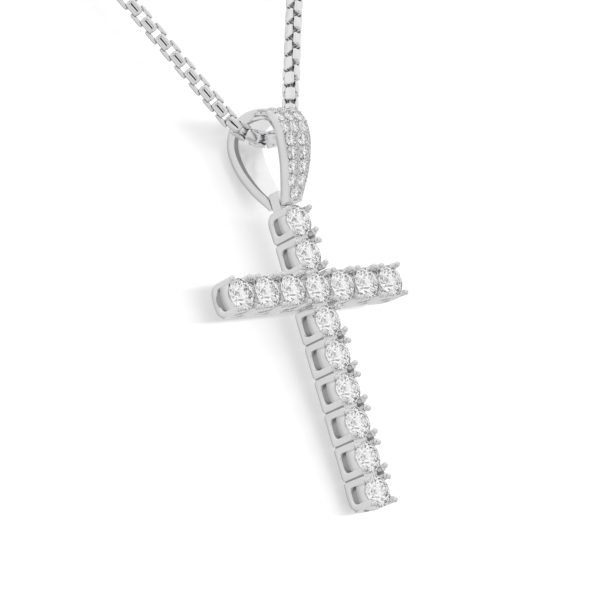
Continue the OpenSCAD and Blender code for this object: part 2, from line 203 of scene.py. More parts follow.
def white_gold(name, tints, roughness, corner, shade_strength, haze=0.05,
               shade_reach=0.6 * MM, metallic=1.0, glow=0.0):
    """A white metal that drifts between two tints, with shade painted into its corners."""
    light, dark = tints
    made, t = new_material(name)
    mark = t.add("ShaderNodeGroup", {"Haze": haze, "Base Roughness": roughness},
                 node_tree=polish)
    corner_shade = t.add("ShaderNodeGroup", {"Strength": shade_strength, "Reach": shade_reach},
                 node_tree=corner_shade_group)
    tint = t.blend(mark.outputs["Tint"], (*dark, 1), (*light, 1))
    # painted shade: the colour turns towards the corner tint where the space around is closed
    tint = t.blend(corner_shade.outputs["Mask"], tint, (*corner, 1))
    relief = t.add("ShaderNodeBump", {"Height": mark.outputs["Height"], "Strength": BUMP,
                   "Distance": SCRATCH_HEIGHT})
    skin = t.add("ShaderNodeBsdfPrincipled", {
        "Base Color": tint, "Metallic": metallic,
        "Roughness": mark.outputs["Roughness"], "Normal": relief.outputs[0],
        "Emission Color": (1, 1, 1, 1), "Emission Strength": glow})
    t.add("ShaderNodeOutputMaterial", {"Surface": skin.outputs[0]})
    return made


# the grey painted into the metal's corners as shade
PAINTED_SHADE_GREY = (0.42, 0.42, 0.43)
# the settings' corners get a lighter painted shade
setting_metal = white_gold("polished white gold", POLISHED_TINTS, 0.12, (0.5, 0.5, 0.51), 0.3)
bail_metal = white_gold("bail white gold", POLISHED_TINTS, 0.12, PAINTED_SHADE_GREY, 0.15)
# the satin glows a little: painted bounce light inside the bail and on the saddles
satin_metal = white_gold("satin white gold", SATIN_TINTS, 0.22, PAINTED_SHADE_GREY, 0.1,
                         metallic=0.8, glow=0.1)
# painted shade for slots, grooves and a strip inside the bail, with a faint painted glow
painted_shade_metal = white_gold("white gold painted dark as shade", SHADE_DARK_TINTS, 0.5, PAINTED_SHADE_GREY, 0.0, glow=0.06)
# the chain's corners are painted almost black, as the shade in the gaps between its links
chain_metal = white_gold("chain white gold", POLISHED_TINTS, 0.12, (0.08, 0.08, 0.085), 0.95,
                         haze=0.06, shade_reach=0.3 * MM)
print("metals:", [made.name for made in (setting_metal, bail_metal, satin_metal, painted_shade_metal,
                                        chain_metal)])

# %% [markdown]
# A brilliant is plain clear crystal. All of its life comes from its facets and from the strong
# bending of light inside, so the shader is glass at diamond's refractive index with no roughness.
# A faint drift in colour keeps the stones from being copies.

# %% The crystal
CRYSTAL_TONE = 0.98
DIAMOND_IOR = 2.42


def crystal(name):
    """Clear crystal with a faint drift in colour."""
    made, t = new_material(name)
    place = t.add("ShaderNodeTexCoord").outputs["Object"]
    noise = t.add("ShaderNodeTexNoise", {"Vector": place, "Scale": 320.0, "Detail": 1.0})
    drift = t.blend(noise.outputs[0], (CRYSTAL_TONE, CRYSTAL_TONE, CRYSTAL_TONE, 1), (1, 1, 1, 1))
    skin = t.add("ShaderNodeBsdfPrincipled", {
        "Base Color": drift, "Roughness": 0.0, "IOR": DIAMOND_IOR, "Transmission Weight": 1.0})
    t.add("ShaderNodeOutputMaterial", {"Surface": skin.outputs[0]})
    return made


main_crystal = crystal("brilliant crystal")
small_crystal = crystal("small brilliant crystal")

for name, node in nodes.items():
    node.data.materials.clear()
    if "stone" in name:
        node.data.materials.append(small_crystal if name.startswith("bail") else main_crystal)
    else:
        node.data.materials.append(chain_metal if name in ("clasp", "chain_left", "chain_right")
                                   else setting_metal)
print("stones:", sum("stone" in name for name in nodes))

# %% [markdown]
# ## The chain
# A round box chain is a row of short bands, each bent into a square ring, and each turned a quarter
# turn from the last so that they lock. Their outer faces are crowned, which makes the whole chain
# round. First comes the route: an arc under the bail, straight runs, and wide bends round the neck.

# %% The chain's route
ROUTE = np.array([[0, -90, -127], [49, -80, -43], [57, -42, -12], [38, -3, 0], [5.05, 1.5, 0]],
                 float)
ROUTE_BENDS = (35, 50, 30)
TIP_BEND = 4.6
ARC_STEPS = 24


def unit(v):
    return v / np.linalg.norm(v)


def lengths_along(line):
    """How far along a line of points each point lies."""
    return np.concatenate([[0], np.cumsum(np.linalg.norm(np.diff(line, axis=0), axis=1))])


def full_turn(count):
    """This many angles round a circle, evenly spaced."""
    return np.linspace(0, 2 * np.pi, count, endpoint=False)


def tip_arc():
    """The arc under the bail, up to where the chain leaves it for the first corner."""
    tip, first = ROUTE[0], ROUTE[1]
    lean = unit(np.array([0, first[1] - tip[1], first[2] - tip[2]]))
    across, up = first[0], np.hypot(*(first - tip)[1:]) - TIP_BEND
    turn = math.atan2(up, across) + math.asin(TIP_BEND / math.hypot(across, up))
    return [tip + TIP_BEND * (math.sin(a) * np.array([1, 0, 0]) + (1 - math.cos(a)) * lean)
            for a in np.linspace(0, turn, ARC_STEPS + 1)]


def rounded_corner(before, corner, after, radius):
    """The arc of this radius that takes the route round a corner."""
    a, b = unit(before - corner), unit(after - corner)
    half = math.acos(float(a @ b)) / 2
    axis, side = unit(a + b), unit(b - a)
    centre = corner + axis * radius / math.sin(half)
    turn = math.pi / 2 - half
    return [centre + radius * (-axis * math.cos(x) + side * math.sin(x))
            for x in np.linspace(-turn, turn, ARC_STEPS + 1)]


def chain_route():
    """One half of the chain as a dense line, from under the bail to the clasp."""
    line = tip_arc()
    for i, radius in enumerate(ROUTE_BENDS, 1):
        line += rounded_corner(line[-1] if i == 1 else ROUTE[i - 1], ROUTE[i], ROUTE[i + 1], radius)
    return np.array(line + [ROUTE[-1]])


route = chain_route()
run = lengths_along(route)
print("half the chain is", round(float(run[-1]), 2), "mm along its route")

# %% [markdown]
# One link is a closed band: a crowned cross-section carried round a square with soft corners. It is
# built once and copied along the route as one big array, which keeps 440 links quick.

# %% One link
LINK_OUT = 0.785
LINK_PITCH = 1.007
FIRST_FACE_ON = -0.71
LINK_SQUARE = 6.0
END_THICK, SIDE_THICK = 0.28, 0.4
END_WIDTH, SIDE_WIDTH = 0.78, 0.97
LINK_CROWN = 0.1
SEAM_DEEP, SEAM_HALF = 0.24, 0.06
SEAM_REACH = 0.43
# the two walls of the seam among the faces across a link, which stay flat
SEAM_FACES = (4, 5)
SECTION_POINTS = 13
RING_CORNER = ((0.735, 0.69), (0.69, 0.735))
# heights along a quarter of the ring, from the middle of a side to the middle of an end
SIDE_STOPS = (0.0, 0.42, 0.48, 0.6)
END_STOPS = (0.62, 0.3)


def ease(x, low, high):
    """0 below low, 1 above high, and a smooth step between."""
    k = np.clip((np.asarray(x, float) - low) / (high - low), 0, 1)
    return k * k * (3 - 2 * k)


def link_points():
    """A link's points as (around, across, 3): its ring in the x-z plane, its width along y."""
    def edge(known):
        return LINK_OUT * (1 - (known / LINK_OUT) ** LINK_SQUARE) ** (1 / LINK_SQUARE)

    quarter = [(edge(z), z) for z in SIDE_STOPS]
    quarter += [*RING_CORNER] + [(x, edge(x)) for x in END_STOPS]
    upper = quarter + [(-x, z) for x, z in quarter[::-1]]
    ring = np.array(upper[:-1] + [(x, -z) for x, z in upper[::-1]][:-1])
    along = np.roll(ring, -1, 0) - np.roll(ring, 1, 0)
    out = np.stack([along[:, 1], -along[:, 0]], 1) / np.linalg.norm(along, axis=1)[:, None]
    on_side = ease(abs(ring[:, 0]) / LINK_OUT, 0.6, 0.99)
    wide = END_WIDTH + (SIDE_WIDTH - END_WIDTH) * on_side
    thick = END_THICK + (SIDE_THICK - END_THICK) * on_side
    past_seam = ease(abs(ring[:, 1]), SEAM_REACH - 0.01, SEAM_REACH + 0.05)
    seam = SEAM_DEEP * on_side * (ring[:, 0] > 0) * (1 - past_seam)
    points = np.zeros((len(ring), SECTION_POINTS, 3))
    for i, (w, t, g) in enumerate(zip(wide / 2, thick, seam)):
        half = [(w, -0.55 * t), (w - 0.015, -LINK_CROWN - 0.05), (w - 0.09, -LINK_CROWN * 0.55),
                (w * 0.55, -LINK_CROWN * 0.24), (SEAM_HALF, 0.0)]
        section = half + [(0.0, -g)] + [(-y, d) for y, d in half[::-1]]
        section += [(-w + 0.1, -t), (w - 0.1, -t)]
        y, deep = np.array(section).T
        points[i, :, 0] = ring[i, 0] + out[i, 0] * deep
        points[i, :, 2] = ring[i, 1] + out[i, 1] * deep
        points[i, :, 1] = y
    return points


def grid_faces(around, across):
    """Quads that close a grid of points both ways."""
    i, k = np.meshgrid(np.arange(around), np.arange(across), indexing="ij")
    n, m = (i + 1) % around, (k + 1) % across
    quads = np.stack([i * across + k, i * across + m, n * across + m, n * across + k], -1)
    return quads.reshape(-1, 4)


def mesh_object(name, points, faces, material, smooth=True):
    """A mesh from arrays, in metres."""
    mesh = bpy.data.meshes.new(name)
    faces = [list(map(int, f)) for f in faces]
    mesh.from_pydata([tuple(p) for p in points], [], faces)
    mesh.validate()
    mesh.polygons.foreach_set("use_smooth", [smooth] * len(mesh.polygons))
    mesh.materials.append(material)
    made = bpy.data.objects.new(name, mesh)
    bpy.context.scene.collection.objects.link(made)
    return made


one_link = link_points()
one_faces = grid_faces(*one_link.shape[:2])
print("a link has", len(one_faces) * 2, "triangles")

# %% [markdown]
# Near the pendant every second link faces the left front, and the links between stand edge on.
# The chain hangs with a slow natural twist: the right strand turns by an eighth of a turn just
# above the bail, and further up both strands have turned by a quarter.

# %% The two halves of the chain
# how far the strands are pulled in where the loop is widest, to stay inside the model's box
WIDEST_PULL = 0.1
FACING = np.array([-0.7099, -0.6811, -0.1795])
LOOP_SIDE = np.array([0, -0.84, 0.54])
# up to the first place along the route they face that way, and past the second the loop's plane
FACE_FRONT_TO, FACE_LOOP_FROM = 25, 60
HALF_STEP = 0.4
# (place along the route, degrees) and (place along the route, how far the links have settled)
TWIST = ((-60, -90), (-25, 0), (6.5, 0), (9, -20), (11.5, -45), (30, -50), (70, -90))
SETTLED = ((-7.7, 0), (-5.7, -0.2), (-3.7, -0.4), (0, -0.45), (4.5, -1.13), (8.5, -1.31),
           (12.3, -1.56), (14.2, -1.61), (20, -1.7))
SEAM_SEEN = -3.4


def link_places():
    """Signed places of all links' centres along the chain, left to right, and which lie face on."""
    count = int(run[-1] / LINK_PITCH) + 2
    k = np.arange(-count, count + 1)
    s = FIRST_FACE_ON + k * LINK_PITCH
    s = s + np.interp(s, *np.array(SETTLED, float).T)
    inside = abs(s) < run[-1] - LINK_OUT * 0.4
    return s[inside], (k % 2 == 0)[inside]


def route_at(s):
    """A place on the chain's route, at a signed distance from its lowest point."""
    here = np.array([np.interp(abs(s), run, route[:, j]) for j in range(3)])
    here[0] -= WIDEST_PULL * (here[0] / route[:, 0].max()) ** 4
    return here * ((1 if s > 0 else -1), 1, 1)


def chain_links(name, side):
    """All links of the left (-1) or the right (1) half of the chain, as one piece."""
    points = []
    for s, face_on in zip(*link_places()):
        if side * s <= 0:
            continue
        place = route_at(s)
        along = unit(route_at(s + HALF_STEP) - route_at(s - HALF_STEP)) * side
        calm = min(max((abs(s) - FACE_FRONT_TO) / (FACE_LOOP_FROM - FACE_FRONT_TO), 0), 1)
        front = unit(FACING * (1 - calm) + LOOP_SIDE * calm)
        front = unit(front - (front @ along) * along)
        beside = np.cross(along, front)
        twist = math.radians(np.interp(s, *np.array(TWIST, float).T))
        turned = math.cos(twist) * front + math.sin(twist) * beside
        square = np.cross(along, turned)
        seam = 1 if s < SEAM_SEEN else -1
        across, width = (square, turned) if face_on else (turned, -square)
        basis = np.stack([seam * across, seam * width, along])
        points.append(place + one_link.reshape(-1, 3) @ basis)
    count = len(points)
    starts = np.arange(count) * one_link.shape[0] * one_link.shape[1]
    faces = one_faces[None] + starts[:, None, None]
    made = mesh_object(name, np.concatenate(points) * MM, faces.reshape(-1, 4), chain_metal)
    flat = np.arange(len(made.data.polygons)) % one_link.shape[1]
    made.data.polygons.foreach_set("use_smooth", ~np.isin(flat, SEAM_FACES))
    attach(made, "chain")
    print(name, "has", count, "links")
    return made


links_left = chain_links("links_left", -1)
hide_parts("chain_left")
links_right = chain_links("links_right", 1)
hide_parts("chain_right")

# %% [markdown]
# ## The cross's metal
# The frame is soldered from flat rails, posts and short collars, and every edge of it is soft. The
# flat parts are drawn as outlines with rounded corners and given to a filled curve, which bevels
# both faces at once. The sizes are the model's.

# %% Outlines with soft corners
PITCH = 3.2
BACK_Y, RAIL_Y = 2.5, 1.85
HALF_RAIL = 1.54
PLATE_THICK, PLATE_SOFT = 0.52, 0.2
POST_W = 0.66
CELL_HALF, CELL_LEAN = 1.575, 0.04
POST_FRONT = -0.3
END_REACH, END_SWELL, END_INSET = 1.3, 0.1, 0.03
END_ROUND, END_BULGE = 1.2, 0.05
# radii of the corners: outside at the back, at a post's front, and inside where post meets rail
BACK_ROUND, FRONT_ROUND, INNER_ROUND = 0.45, 0.24, 0.5
CORNER_STEPS = 5


def softened(corners):
    """An outline from (x, y, radius) corners, each rounded by its radius."""
    points = []
    for i, (x, y, radius) in enumerate(corners):
        here = np.array([x, y], float)
        before = np.array(corners[i - 1][:2], float) - here
        after = np.array(corners[(i + 1) % len(corners)][:2], float) - here
        if radius <= 0:
            points.append(here)
            continue
        a, b = unit(before), unit(after)
        half = math.acos(max(-1.0, min(1.0, float(a @ b)))) / 2
        shorter = min(np.linalg.norm(before), np.linalg.norm(after))
        reach = min(radius / math.tan(half), 0.49 * shorter)
        for k in np.linspace(0, 1, CORNER_STEPS + 1):
            points.append(here + a * reach * (1 - k) ** 2 + b * reach * k ** 2)
    return np.array(points)


def bevelled_plate(outlines, thick, soft):
    """Points and faces of a flat plate with soft edges, from its outline and the holes in it."""
    curve = bpy.data.curves.new("plate", "CURVE")
    curve.dimensions, curve.fill_mode = "2D", "BOTH"
    curve.extrude, curve.bevel_depth, curve.offset = thick / 2 - soft, soft, -soft
    curve.bevel_resolution = 3
    for outline in outlines:
        spline = curve.splines.new("POLY")
        spline.points.add(len(outline) - 1)
        spline.points.foreach_set("co", np.c_[
            outline, np.zeros(len(outline)), np.ones(len(outline))].ravel())
        spline.use_cyclic_u = True
    holder = bpy.data.objects.new("plate", curve)
    bpy.context.scene.collection.objects.link(holder)
    bpy.context.view_layer.update()
    mesh = holder.evaluated_get(bpy.context.evaluated_depsgraph_get()).to_mesh()
    points = np.array([v.co for v in mesh.vertices])
    faces = [tuple(p.vertices) for p in mesh.polygons]
    holder.to_mesh_clear()
    bpy.data.objects.remove(holder)
    return points, faces


def rows_to_part(rows):
    """Joins rows of points, closed at both ends by their first and last row."""
    start, at, faces = [], 0, []
    for row in rows:
        start.append(at)
        at += len(row)
    for i in range(len(rows) - 1):
        n, m = len(rows[i]), len(rows[i + 1])
        for k in range(max(n, m)):
            quad = [start[i] + k % n, start[i] + (k + 1) % n,
                    start[i + 1] + (k + 1) % m, start[i + 1] + k % m]
            faces.append(tuple(dict.fromkeys(quad)))
    for i, flip in ((0, 1), (len(rows) - 1, -1)):
        if len(rows[i]) > 2:
            faces.append(tuple(start[i] + k for k in range(len(rows[i])))[::-flip])
    return np.concatenate(rows), faces


# %% [markdown]
# Each stone's side is a flat U: a rail at the back and two posts, and neighbours meet in a narrow
# groove. The sides lean out a little towards the front, where the claws end.

# %% The side and the end of an arm
LEAN = 0.035
END_LEAN, CORNER_POST_LEAN = LEAN * 0.65, LEAN * 0.8
# (depth, radius) along a corner post, and how far it stands in from the end and from the side
CORNER_POST_ROWS = ((2.05, 0.02), (2.03, 0.22), (1.6, 0.26), (POST_FRONT, 0.26))
CORNER_POST_IN, CORNER_POST_ASIDE = 0.3, 0.27
WEB_HALF, WEB_FRONT, WEB_BACK, WEB_THICK, WEB_SUNK = 0.17, -0.05, 2.3, 0.2, 0.2


def cell_outline(last):
    """One stone's side, along the arm and front to back: a rail with a post at each end."""
    reach = END_REACH - END_INSET if last else CELL_HALF
    back = BACK_Y + (END_SWELL if last else 0)
    tip = reach - (0 if last else CELL_LEAN)
    return softened([
        (-CELL_HALF, BACK_Y, BACK_ROUND), (reach, back, END_ROUND if last else BACK_ROUND),
        (tip, POST_FRONT, FRONT_ROUND), (tip - POST_W, POST_FRONT, FRONT_ROUND),
        (reach - POST_W, RAIL_Y, INNER_ROUND), (POST_W - CELL_HALF, RAIL_Y, INNER_ROUND),
        (POST_W - CELL_HALF + CELL_LEAN, POST_FRONT, FRONT_ROUND),
        (CELL_LEAN - CELL_HALF, POST_FRONT, FRONT_ROUND)])


def end_outline():
    """The end of an arm, across it and front to back: the rail and the two corner posts."""
    back, front, wide = BACK_Y + END_SWELL, RAIL_Y - END_SWELL, HALF_RAIL - END_INSET
    right = [(wide + END_BULGE, back, END_ROUND), (wide, POST_FRONT, FRONT_ROUND),
             (wide - PLATE_THICK, POST_FRONT, 0.2), (wide - PLATE_THICK, front, INNER_ROUND)]
    return softened(right + [(-x, y, radius) for x, y, radius in right[::-1]])


# each arm's number of stones beyond the centre one, and its direction
ARMS = {"up": (2, (0, 1)), "down": (6, (0, -1)), "right": (3, (1, 0)), "left": (3, (-1, 0))}
metal_parts, waist_parts, saddle_parts = [], [], []


def add_part(points, faces, place, parts=metal_parts):
    """Keeps one part of the metal, its points moved by place into (x, y, z) of the cross."""
    parts.append((np.array([place(*p) for p in points]), faces))


def on_arm(arm, u, y, v):
    """The place (x, y, z) u along an arm from the centre stone and v across it."""
    ux, uz = arm
    return ux * u + uz * v, y, uz * u + ux * v


def on_side(arm, at_u, deep, side):
    """Where a flat part goes that stands in an arm's side: at_u along it, deep under its face."""
    return lambda u, y, t: on_arm(
        arm, u + at_u, y, side * (HALF_RAIL - deep + t + LEAN * (BACK_Y - y)))


def on_end(arm, end):
    """Where a flat part goes that closes an arm's end."""
    return lambda v, y, t: on_arm(arm, end + t, y, v * (1 + END_LEAN * (BACK_Y - y)))


def corner_post(arm, end, side):
    """The round post inside one corner of an arm's end."""
    a, rows = full_turn(24), []
    for y, r in CORNER_POST_ROWS:
        v = side * (HALF_RAIL - CORNER_POST_ASIDE + CORNER_POST_LEAN * (BACK_Y - y))
        rows.append(np.stack(on_arm(arm, end - CORNER_POST_IN + r * np.cos(a), np.full(len(a), y),
                                    v + r * np.sin(a)), 1))
    return rows_to_part(rows)


cell, last_cell = (bevelled_plate([cell_outline(last)], PLATE_THICK, PLATE_SOFT)
                   for last in (False, True))
end_frame = bevelled_plate([end_outline()], PLATE_THICK, PLATE_SOFT)
# the groove between two sides isn't cut through: a thin web lies in it, dark metal that paints the
# groove's shade
web = bevelled_plate([softened([(-WEB_HALF, WEB_BACK, 0), (WEB_HALF, WEB_BACK, 0),
                                (WEB_HALF, WEB_FRONT, 0.1), (-WEB_HALF, WEB_FRONT, 0.1)])],
                     WEB_THICK, 0.03)
for stones, arm in ARMS.values():
    for i in range(1, stones + 1):
        for side in (-1, 1):
            add_part(*(last_cell if i == stones else cell),
                     on_side(arm, i * PITCH, PLATE_THICK / 2, side))
        for side in (-1, 1) if i > 1 else ():
            add_part(*web, on_side(arm, (i - 0.5) * PITCH, WEB_SUNK + WEB_THICK / 2, side),
                     waist_parts)
    end = stones * PITCH + END_REACH
    add_part(*end_frame, on_end(arm, end - PLATE_THICK / 2))
    metal_parts += [corner_post(arm, end, side) for side in (-1, 1)]
print("sides and ends:", len(metal_parts), "webs:", len(waist_parts))

# %% [markdown]
# Behind the stones lies one flat cross with a light hole for each stone, and each stone sits in a
# collar. The collar is carried round in rows: four shallow arcs outside, and a cone inside that
# leaves the crystal room.

# %% Back plate and collars
LIGHT_HOLE = 0.95
BACK_INSET, BACK_THICK, BACK_SOFT, BACK_GAP = 0.3, 0.6, 0.08, 0.31
ARM_ROUND, NOOK_ROUND = 0.6, 0.1
PLACES = ([(0, k * PITCH) for k in range(2, -7, -1)]
          + [(s * k * PITCH, 0) for s in (-1, 1) for k in (1, 2, 3)])


def circle(x, z, radius, count=32):
    """A round hole's outline."""
    a = full_turn(count)
    return np.stack([x + radius * np.cos(a), z + radius * np.sin(a)], 1)


def ring_at(x, y, z, radius, count):
    """A ring of points that faces the front, at a depth y."""
    return np.insert(circle(x, z, radius, count), 1, y, axis=1)


wide = HALF_RAIL - BACK_INSET
top, foot, tip = (stones * PITCH + END_REACH - BACK_INSET for stones in (2, 6, 3))
cross_outline = softened([
    (-wide, top, ARM_ROUND), (wide, top, ARM_ROUND), (wide, wide, NOOK_ROUND),
    (tip, wide, ARM_ROUND), (tip, -wide, ARM_ROUND), (wide, -wide, NOOK_ROUND),
    (wide, -foot, ARM_ROUND), (-wide, -foot, ARM_ROUND), (-wide, -wide, NOOK_ROUND),
    (-tip, -wide, ARM_ROUND), (-tip, wide, ARM_ROUND), (-wide, wide, NOOK_ROUND)])
light_holes = [circle(x, z, LIGHT_HOLE) for x, z in PLACES]
add_part(*bevelled_plate([cross_outline] + light_holes, BACK_THICK, BACK_SOFT),
         lambda x, z, t: (x, BACK_Y - BACK_GAP - t, z))

COLLAR_HALF, COLLAR_BOW, COLLAR_FRONT = 1.49, 2.5, 0.12
# (depth, inset from the four arcs or else radius, whether the row follows the arcs)
COLLAR_ROWS = ((0, 0.12, 1), (0.03, 0.03, 1), (0.1, 0.02, 1), (1.02, 0.0, 1), (1.08, 0.03, 1),
               (1.11, 0.12, 1), (1.15, 1.1, 0), (1.18, 0.98, 0), (0.15, 1.47, 0), (0.02, 1.49, 0))


def collar_part(x, z, around=64):
    """One collar, whose outside is four shallow arcs."""
    a = full_turn(around)
    c, s = abs(np.cos(a)), abs(np.sin(a))
    shift = COLLAR_BOW - COLLAR_HALF
    arcs = [np.sqrt(COLLAR_BOW ** 2 - (shift * q) ** 2) - shift * p for p, q in ((c, s), (s, c))]
    bow = np.minimum(*arcs)
    points = []
    for depth, size, follows in COLLAR_ROWS:
        radius = bow - size if follows else np.full(around, size)
        points.append(ring_at(x, depth + COLLAR_FRONT, z, radius, around))
    return np.concatenate(points), grid_faces(len(COLLAR_ROWS), around)


metal_parts += [collar_part(x, z) for x, z in PLACES]
print("collars:", len(PLACES))

# %% [markdown]
# Under the collar a narrower ring reaches back to the plate; its dark metal paints the shade of the
# slot seen from the side. A small saddle closes the view down between two stones.

# %% Waists and saddles
WAIST_OUT, WAIST_IN, WAIST_FRONT, WAIST_BACK = 1.38, 0.97, 1.2, 1.95
WAIST_ROWS = ((WAIST_OUT, WAIST_FRONT), (WAIST_OUT, WAIST_BACK),
              (WAIST_IN, WAIST_BACK), (WAIST_IN, WAIST_FRONT))
WAIST_AROUND = 48
for x, z in PLACES:
    rings = [ring_at(x, y, z, radius, WAIST_AROUND) for radius, y in WAIST_ROWS]
    waist_parts.append((np.concatenate(rings), grid_faces(len(WAIST_ROWS), WAIST_AROUND)))

# two blocks in each saddle: (half length along the arm, front, back)
SADDLES = ((0.3, 0.45, 1.95), (0.62, 1.34, 1.92))
SADDLE_ACROSS = 1.0
for stones, arm in ARMS.values():
    for i in range(stones):
        u = (i + 0.5) * PITCH
        for half, front, back in SADDLES:
            corners = [(u + a * half, b * SADDLE_ACROSS)
                       for a, b in ((-1, -1), (1, -1), (1, 1), (-1, 1))]
            saddle_parts.append(rows_to_part([np.array([on_arm(arm, a, y, b) for a, b in corners])
                                              for y in (front, back)]))
print("saddle blocks:", len(saddle_parts))

# %% [markdown]
# Each claw ends in a small ball that holds its stone's edge. The four posts of the centre stone
# stand alone in the corners between the arms.

# %% Claws
TIP_R, TIP_Y = 0.27, -0.42
TIP_ACROSS, TIP_ALONG, TIP_CENTRE = 1.38, 1.07, 1.24
CENTRE_FOOT, CENTRE_POST_R = (1.26, 1.2), 0.3
# (share of the way from foot to tip, share of the radius) along a post
POST_TAPER = ((0, 1), (0.9, 0.9), (1, 0.8))


def ball(x, y, z, radius, rings=14, around=20):
    """A ball, closed at its front and back by a single point each."""
    rows = [ring_at(x, y - radius * math.cos(p), z, radius * math.sin(p), around)
            for p in np.linspace(0, np.pi, rings + 1)[1:-1]]
    ends = np.array([[[x, y - radius, z]], [[x, y + radius, z]]])
    return rows_to_part([ends[0], *rows, ends[1]])


def post(foot, tip, radius):
    """A round post from its foot to its tip, both (x, y, z)."""
    foot, tip = np.array(foot, float), np.array(tip, float)
    return rows_to_part([ring_at(*(foot + share * (tip - foot)), radius * taper, 20)
                         for share, taper in POST_TAPER])


for stones, arm in ARMS.values():
    for i in range(1, stones + 1):
        for along in (-TIP_ALONG, TIP_ALONG):
            for across in (-TIP_ACROSS, TIP_ACROSS):
                metal_parts.append(ball(*on_arm(arm, i * PITCH + along, TIP_Y, across), TIP_R))
for sx in (-1, 1):
    for sz in (-1, 1):
        foot_x, foot_z = CENTRE_FOOT
        tip = (sx * TIP_CENTRE, TIP_Y, sz * TIP_CENTRE)
        metal_parts.append(ball(*tip, TIP_R))
        metal_parts.append(post((sx * foot_x, BACK_Y - 0.2, sz * foot_z), tip, CENTRE_POST_R))
print("parts of the metal so far:", len(metal_parts))

# %% [markdown]
# On top of the upright stands the loop that the bail's bar goes through. Then all the parts are
# joined: doubled points are merged, and sharp edges stay crisp.

# %% The hanger loop, and the frame as one piece
LOOP_Y, LOOP_Z, LOOP_THICK, LOOP_HOLE = 1.42, 8.56, 1.08, 0.45
LOOP_HALF, LOOP_TOP, LOOP_FOOT, LOOP_ROUND, LOOP_SOFT = 0.95, 1.05, -1.4, 0.3, 0.08
MERGE_WITHIN, SHARP_ANGLE = 0.002 * MM, math.radians(40)
loop_outline = softened([(-LOOP_HALF, LOOP_FOOT, 0), (LOOP_HALF, LOOP_FOOT, 0),
                         (LOOP_HALF, LOOP_TOP, LOOP_ROUND), (-LOOP_HALF, LOOP_TOP, LOOP_ROUND)])
add_part(*bevelled_plate([loop_outline, circle(0, 0, LOOP_HOLE)], LOOP_THICK, LOOP_SOFT),
         lambda x, z, t: (x, LOOP_Y + t, LOOP_Z + z))


def apply_modifiers(made):
    """Makes what an object's modifiers do a part of its mesh."""
    bpy.context.view_layer.update()
    seen = made.evaluated_get(bpy.context.evaluated_depsgraph_get())
    mesh = bpy.data.meshes.new_from_object(seen)
    made.modifiers.clear()
    made.data = mesh


def joined_metal(name, parts, material, body):
    """One smooth-shaded piece from many parts given in mm from the cross's centre."""
    at, all_faces = 0, []
    for points, faces in parts:
        all_faces += [tuple(v + at for v in f) for f in faces]
        at += len(points)
    places = np.concatenate([p for p, _ in parts]) * MM + np.array(CROSS)
    made = mesh_object(name, places, all_faces, material)
    b = bmesh.new()
    b.from_mesh(made.data)
    bmesh.ops.remove_doubles(b, verts=b.verts, dist=MERGE_WITHIN)
    bmesh.ops.recalc_face_normals(b, faces=b.faces)
    for edge in b.edges:
        edge.smooth = not edge.is_manifold or edge.calc_face_angle(0) < SHARP_ANGLE
    b.to_mesh(made.data)
    b.free()
    weigh = made.modifiers.new("weigh", "WEIGHTED_NORMAL")
    weigh.keep_sharp = True
    apply_modifiers(made)
    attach(made, body)
    made.data.calc_loop_triangles()
    print(name, "has", len(made.data.loop_triangles), "triangles")
    return made


cross_metal = joined_metal("cross_metal", metal_parts, setting_metal, "pendant")
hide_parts("cross_frame")
# waists and webs are the dark metal: painted shade in slots and grooves
joined_metal("setting_waists", waist_parts, painted_shade_metal, "pendant")
# the saddles are satin with a faint painted glow
joined_metal("setting_saddles", saddle_parts, satin_metal, "pendant")

# %% [markdown]
# ## The bail
# The bail is one band bent into a drop, narrow at its feet and wide over the chain. Its outline is
# a smooth curve through a few chosen points, and every section of the band is the same short list
# of corners, so the whole band is a grid of points.

# %% The band's outline
BAIL_H, BAIL_DEPTH, BAIL_BACK, BAIL_WALL, FOOT_Z = 9.1, 7.4, 0.93, 1.0, 8.17
BAIL_TOP_W, BAIL_FOOT_W = 3.7, 1.9
# (depth as a share of half the bail's, height as a share of the bail's), from the front foot round
BAIL_OUTLINE = (
    (-0.31, 0), (-0.46, 0.09), (-0.653, 0.22), (-0.787, 0.33), (-0.888, 0.44), (-0.965, 0.55),
    (-1, 0.67), (-0.955, 0.79), (-0.82, 0.885), (-0.57, 0.95), (-0.28, 0.985), (0.05, 1),
    (0.38, 0.985), (0.68, 0.935), (0.88, 0.845), (0.985, 0.735), (1, 0.61), (0.945, 0.46),
    (0.86, 0.35), (0.745, 0.235), (0.61, 0.13), (0.4, 0))
# (height as a share of the bail's, how far the band has widened)
BAIL_FLARE = (
    (-0.03, 0), (0.05, 0.02), (0.25, 0.46), (0.5, 0.84), (0.68, 0.97), (0.85, 1), (1.03, 1))
STATIONS = 160
CURVE_STEPS = 8
# the slot between the bail's legs, which the hanger loop fills but for a small gap
SLOT_GAP = 0.08
SLOT_DROP = 0.05


def smooth_line(points, steps):
    """A smooth curve through points, with equal steps between them."""
    p = np.array(points, float)
    q = np.vstack([p[:1], p, p[-1:]])
    made = []
    for a, b, c, d in zip(q[:-3], q[1:-2], q[2:-1], q[3:]):
        for k in np.arange(steps)[:, None] / steps:
            bend = (2 * a - 5 * b + 4 * c - d) + k * (3 * (b - c) + d - a)
            made.append(b + 0.5 * k * ((c - a) + k * bend))
    return np.vstack(made + [p[-1:]])


def evenly(line, shares):
    """Places at the given shares of a line's length."""
    length = lengths_along(line)
    return np.stack([np.interp(shares * length[-1], length, row) for row in line.T], 1)


